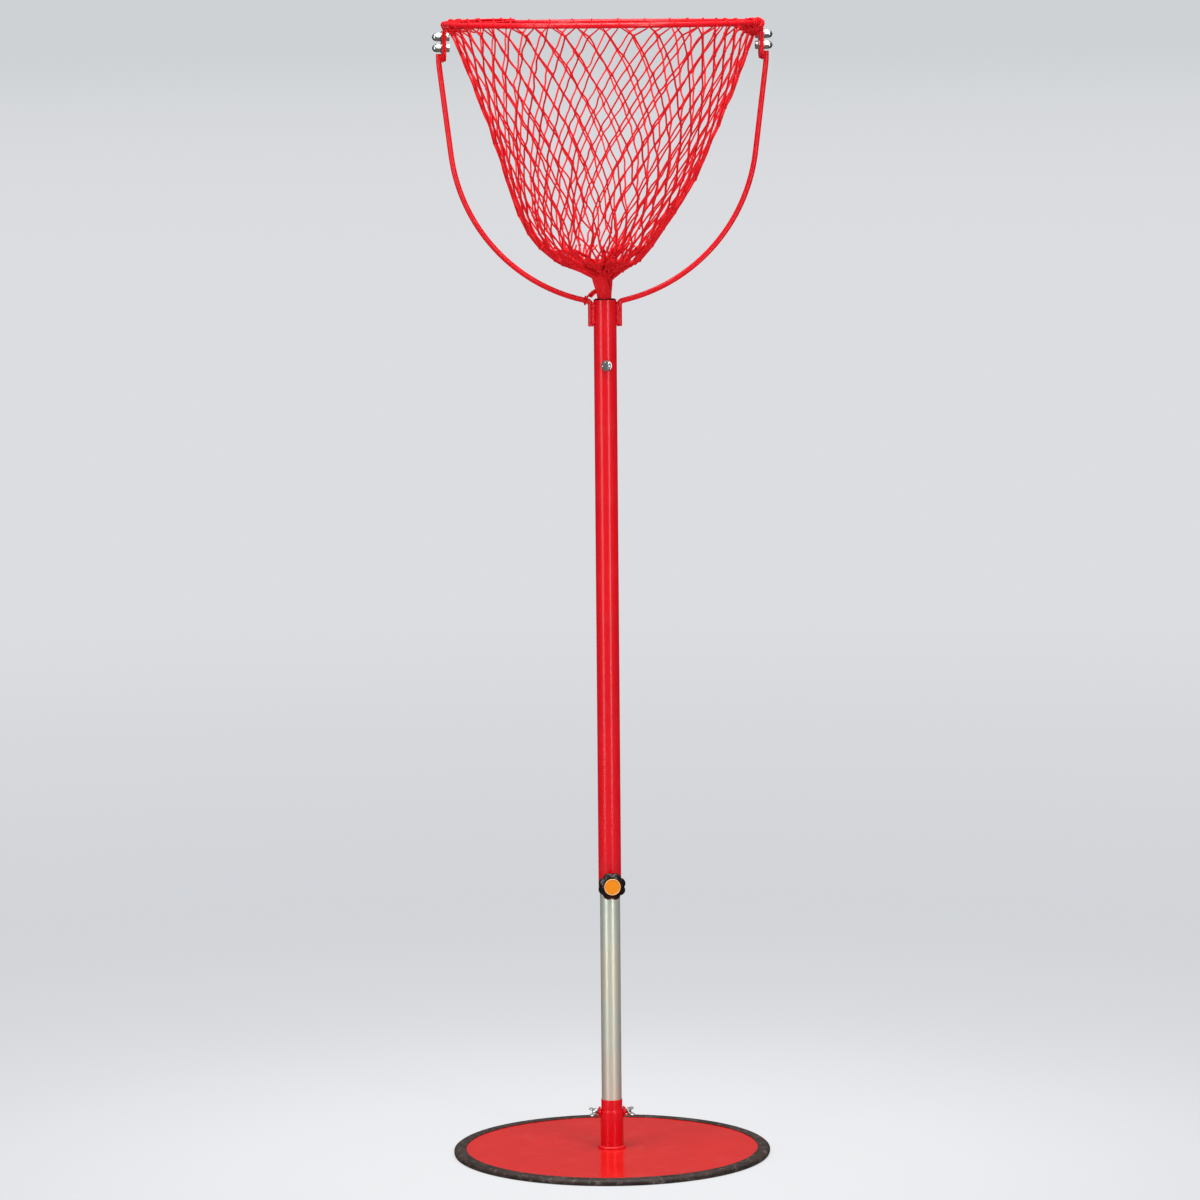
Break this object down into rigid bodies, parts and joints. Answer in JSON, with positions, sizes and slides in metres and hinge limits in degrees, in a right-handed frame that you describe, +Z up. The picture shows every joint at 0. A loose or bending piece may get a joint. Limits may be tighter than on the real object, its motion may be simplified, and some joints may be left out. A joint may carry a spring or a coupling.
{
  "type": "ball toss basket stand",
  "caption": "Netted hoop basket on a telescopic two-part pole with a clamp knob, held upright by a round rubber-edged floor base.",
  "frame": {"origin": "on the floor at the centre of the round base, under the pole's axis", "axes": "+Z up along the pole, -Y to the front where the clamp knob is, +X to the right arm of the basket seen from the front"},
  "size_m": [0.5346, 0.505, 1.8012],
  "materials": {
    "red_paint": "glossy red enamel",
    "base_plate_paint": "glossy red enamel, smooth",
    "edge_rubber": "moulded, slightly shiny",
    "bright_zinc": "bright zinc plate",
    "zinc_tube": "zinc plate with a faint yellow-green tint",
    "black_plastic": "glossy moulded",
    "orange_plastic": "satin moulded",
    "grey_plastic": "matt moulded",
    "net_cord": "twisted polyethylene cord, knotted"
  },
  "bodies": {
    "base": {"base_plate": "base_plate_paint", "edge_trim": "edge_rubber", "base_socket": "red_paint", "socket_nut_left": "red_paint", "socket_nut_right": "red_paint"},
    "wing_left": {"wing_bolt_left": "bright_zinc"},
    "wing_right": {"wing_bolt_right": "bright_zinc"},
    "lower_pole": {"lower_tube": "zinc_tube", "foot_plug": "grey_plastic", "guide_bush": "grey_plastic"},
    "upper_pole": {"upper_tube": "red_paint", "clamp_boss": "red_paint", "stop_bolt": "bright_zinc", "stop_washer_front": "bright_zinc", "stop_washer_rear": "bright_zinc", "stop_nut": "bright_zinc", "yoke_arm_left": "red_paint", "yoke_arm_right": "red_paint", "arm_plate_left": "red_paint", "arm_plate_right": "red_paint", "hoop_plate_left": "red_paint", "hoop_plate_right": "red_paint", "bracket_bolt_left_upper": "bright_zinc", "bracket_bolt_left_lower": "bright_zinc", "bracket_bolt_right_upper": "bright_zinc", "bracket_bolt_right_lower": "bright_zinc", "bracket_washer_left_upper": "bright_zinc", "bracket_washer_left_lower": "bright_zinc", "bracket_washer_right_upper": "bright_zinc", "bracket_washer_right_lower": "bright_zinc", "bracket_nut_left_upper": "bright_zinc", "bracket_nut_left_lower": "bright_zinc", "bracket_nut_right_upper": "bright_zinc", "bracket_nut_right_lower": "bright_zinc", "hoop_ring": "red_paint", "net_bag": "net_cord", "net_lashing_left": "net_cord", "net_lashing_right": "net_cord", "net_tie_cord": "net_cord"},
    "washer": {"clamp_washer": "bright_zinc"},
    "knob": {"clamp_knob": "black_plastic", "knob_cap": "orange_plastic", "clamp_stud": "bright_zinc"}
  },
  "joints": [
    {"name": "pole_swivel", "type": "hinge", "parent": "base", "child": "lower_pole", "pos_m": [0, 0, 0.045], "axis": [0, 0, 1], "continuous": true},
    {"name": "height_slide", "type": "slide", "parent": "lower_pole", "child": "upper_pole", "axis": [0, 0, 1], "range_m": [-0.3, 0.38]},
    {"name": "clamp_travel", "type": "slide", "parent": "upper_pole", "child": "washer", "axis": [0, -1, 0], "range_m": [0, 0.00252]},
    {"name": "knob_turn", "type": "hinge", "parent": "washer", "child": "knob", "pos_m": [0, -0.03, 0.436], "axis": [0, -1, 0], "range_deg": [0, 720]},
    {"name": "wing_turn_left", "type": "hinge", "parent": "base", "child": "wing_left", "pos_m": [-0.03, 0, 0.066], "axis": [-1, 0, 0], "range_deg": [0, 360]},
    {"name": "wing_turn_right", "type": "hinge", "parent": "base", "child": "wing_right", "pos_m": [0.03, 0, 0.066], "axis": [1, 0, 0], "range_deg": [0, 360]}
  ],
  "couplings": [
    {"joint": "clamp_travel", "follows": "knob_turn", "m_per_rad": 0.00019894}
  ]
}
